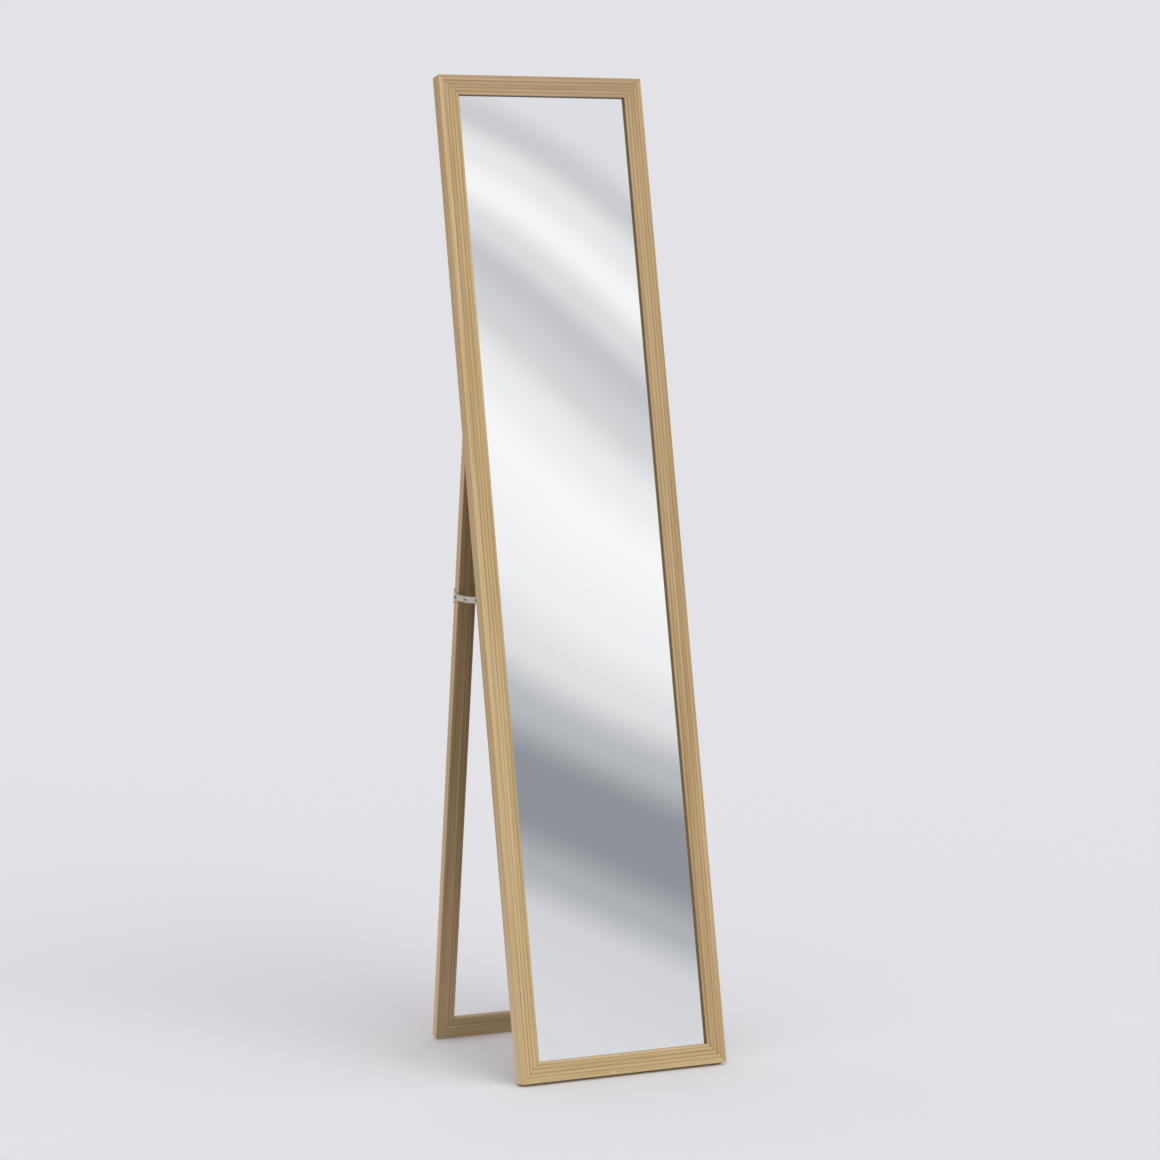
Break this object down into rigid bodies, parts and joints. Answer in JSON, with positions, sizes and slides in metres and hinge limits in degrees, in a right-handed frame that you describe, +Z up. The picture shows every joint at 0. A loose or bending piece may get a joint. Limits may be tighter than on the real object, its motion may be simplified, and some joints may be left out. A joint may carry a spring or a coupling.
{
  "type": "standing floor mirror",
  "caption": "Tall narrow floor mirror in a reeded pale oak frame that leans back on a hinged rear leg frame with folding metal stays.",
  "frame": {"origin": "on the floor under the middle of the object's outer box, with the mirror standing open", "axes": "+X across the width, the glass faces -Y and leans back, +Z up"},
  "size_m": [0.348, 0.3665, 1.5257],
  "materials": {
    "frame_moulding": "pale oak foil with straight fine grain, satin",
    "leg_moulding": "pale oak foil with straight fine grain, satin",
    "mirror_silver": "silvered float glass, polished",
    "hardboard": "brown hardboard, smooth",
    "zinc_plate": "bright zinc plated steel, slightly worn",
    "bright_steel": "plain bright steel"
  },
  "bodies": {
    "mirror_frame": {"frame_left_stile": "frame_moulding", "frame_right_stile": "frame_moulding", "frame_top_rail": "frame_moulding", "frame_bottom_rail": "frame_moulding", "mirror_glass": "mirror_silver", "backing_board": "hardboard", "left_point_1": "bright_steel", "left_point_2": "bright_steel", "left_point_3": "bright_steel", "right_point_1": "bright_steel", "right_point_2": "bright_steel", "right_point_3": "bright_steel", "frame_nail_bottom_left": "bright_steel", "frame_nail_bottom_right": "bright_steel", "frame_nail_top_left": "bright_steel", "frame_nail_top_right": "bright_steel", "left_hinge_frame_leaf": "zinc_plate", "left_hinge_pin": "zinc_plate", "left_frame_bracket": "zinc_plate", "left_frame_rivet": "zinc_plate", "right_hinge_frame_leaf": "zinc_plate", "right_hinge_pin": "zinc_plate", "right_frame_bracket": "zinc_plate", "right_frame_rivet": "zinc_plate", "left_hinge_frame_screw_1": "zinc_plate", "left_hinge_frame_screw_2": "zinc_plate", "left_frame_bracket_screw_1": "zinc_plate", "left_frame_bracket_screw_2": "zinc_plate", "right_hinge_frame_screw_1": "zinc_plate", "right_hinge_frame_screw_2": "zinc_plate", "right_frame_bracket_screw_1": "zinc_plate", "right_frame_bracket_screw_2": "zinc_plate"},
    "leg_frame": {"leg_left_stile": "leg_moulding", "leg_right_stile": "leg_moulding", "leg_top_rail": "leg_moulding", "leg_bottom_rail": "leg_moulding", "leg_nail_bottom_left": "bright_steel", "leg_nail_bottom_right": "bright_steel", "leg_nail_top_left": "bright_steel", "leg_nail_top_right": "bright_steel", "left_hinge_leg_leaf": "zinc_plate", "left_leg_bracket": "zinc_plate", "left_leg_rivet": "zinc_plate", "right_hinge_leg_leaf": "zinc_plate", "right_leg_bracket": "zinc_plate", "right_leg_rivet": "zinc_plate", "left_hinge_leg_screw_1": "zinc_plate", "left_hinge_leg_screw_2": "zinc_plate", "left_leg_bracket_screw_1": "zinc_plate", "left_leg_bracket_screw_2": "zinc_plate", "right_hinge_leg_screw_1": "zinc_plate", "right_hinge_leg_screw_2": "zinc_plate", "right_leg_bracket_screw_1": "zinc_plate", "right_leg_bracket_screw_2": "zinc_plate"},
    "left_rear_link": {"left_rear_link": "zinc_plate"},
    "left_front_link": {"left_front_link": "zinc_plate", "left_middle_rivet": "zinc_plate"},
    "right_rear_link": {"right_rear_link": "zinc_plate"},
    "right_front_link": {"right_front_link": "zinc_plate", "right_middle_rivet": "zinc_plate"}
  },
  "joints": [
    {"name": "leg_fold", "type": "hinge", "parent": "mirror_frame", "child": "leg_frame", "pos_m": [0, 0.03965, 0.97976], "axis": [-1, 0, 0], "range_deg": [0, 18.95]},
    {"name": "left_rear_link_fold", "type": "hinge", "parent": "leg_frame", "child": "left_rear_link", "pos_m": [-0.1677, 0.0782, 0.71856], "axis": [-1, 0, 0], "range_deg": [0, 81.97]},
    {"name": "left_front_link_fold", "type": "hinge", "parent": "mirror_frame", "child": "left_front_link", "pos_m": [-0.1699, -0.00841, 0.72167], "axis": [1, 0, 0], "range_deg": [0, 82.28]},
    {"name": "right_rear_link_fold", "type": "hinge", "parent": "leg_frame", "child": "right_rear_link", "pos_m": [0.1677, 0.0782, 0.71856], "axis": [-1, 0, 0], "range_deg": [0, 81.97]},
    {"name": "right_front_link_fold", "type": "hinge", "parent": "mirror_frame", "child": "right_front_link", "pos_m": [0.1699, -0.00841, 0.72167], "axis": [1, 0, 0], "range_deg": [0, 82.28]}
  ],
  "couplings": [
    {"joint": "left_rear_link_fold", "follows": "leg_fold", "ratio": 4.3248},
    {"joint": "left_front_link_fold", "follows": "leg_fold", "ratio": 4.3413},
    {"joint": "right_rear_link_fold", "follows": "leg_fold", "ratio": 4.3248},
    {"joint": "right_front_link_fold", "follows": "leg_fold", "ratio": 4.3413}
  ]
}
